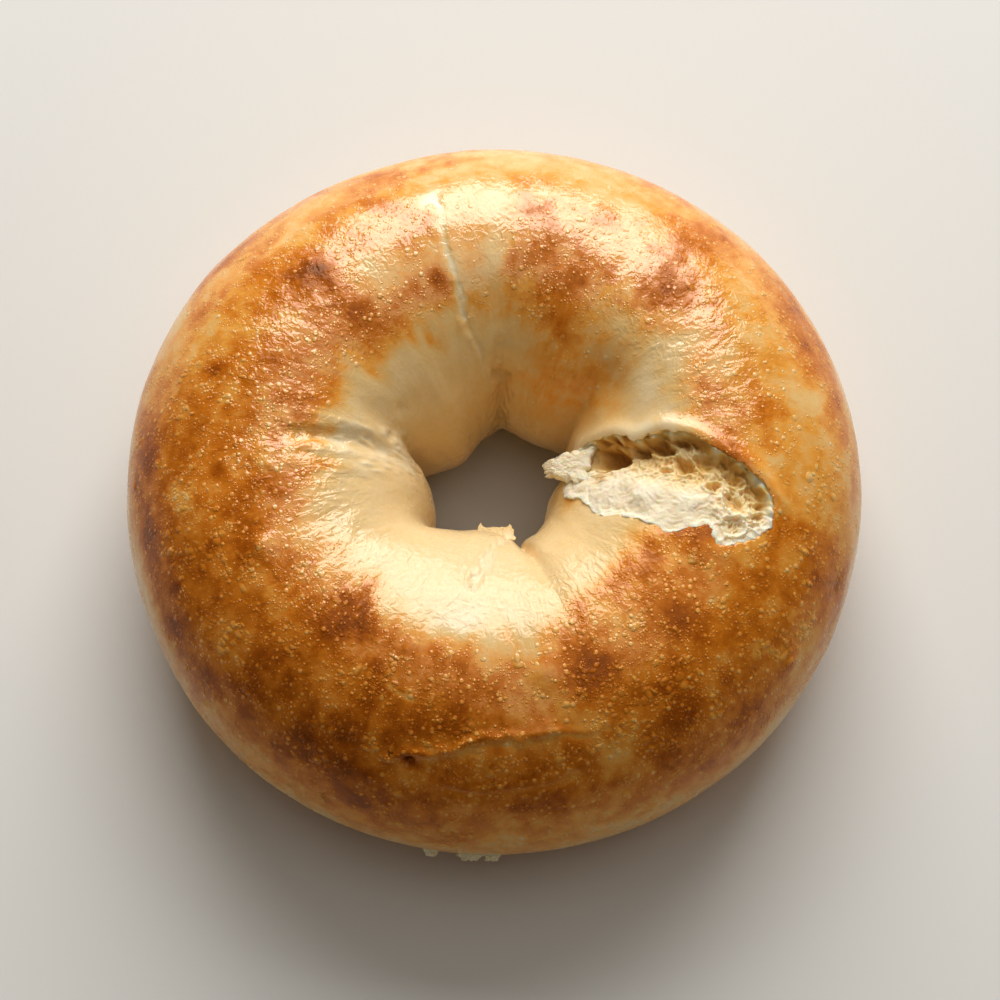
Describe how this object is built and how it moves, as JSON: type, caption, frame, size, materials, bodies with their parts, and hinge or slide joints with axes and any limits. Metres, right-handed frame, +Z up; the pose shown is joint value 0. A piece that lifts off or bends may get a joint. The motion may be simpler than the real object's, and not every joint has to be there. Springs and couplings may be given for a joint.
{
  "type": "bagel",
  "caption": "Plain glossy ring of baked dough with a pinched centre hole, a browned crust and one torn pocket that shows the crumb.",
  "frame": {"origin": "on the table under the middle of the ring, at the centre of the box's bottom face", "axes": "+Z up through the hole; +X towards the side with the torn pocket; -Y towards the side that was nearest in the picture"},
  "size_m": [0.1122, 0.112, 0.0406],
  "materials": {
    "crust": null
  },
  "bodies": {
    "root": {"bagel": "crust"}
  },
  "joints": []
}
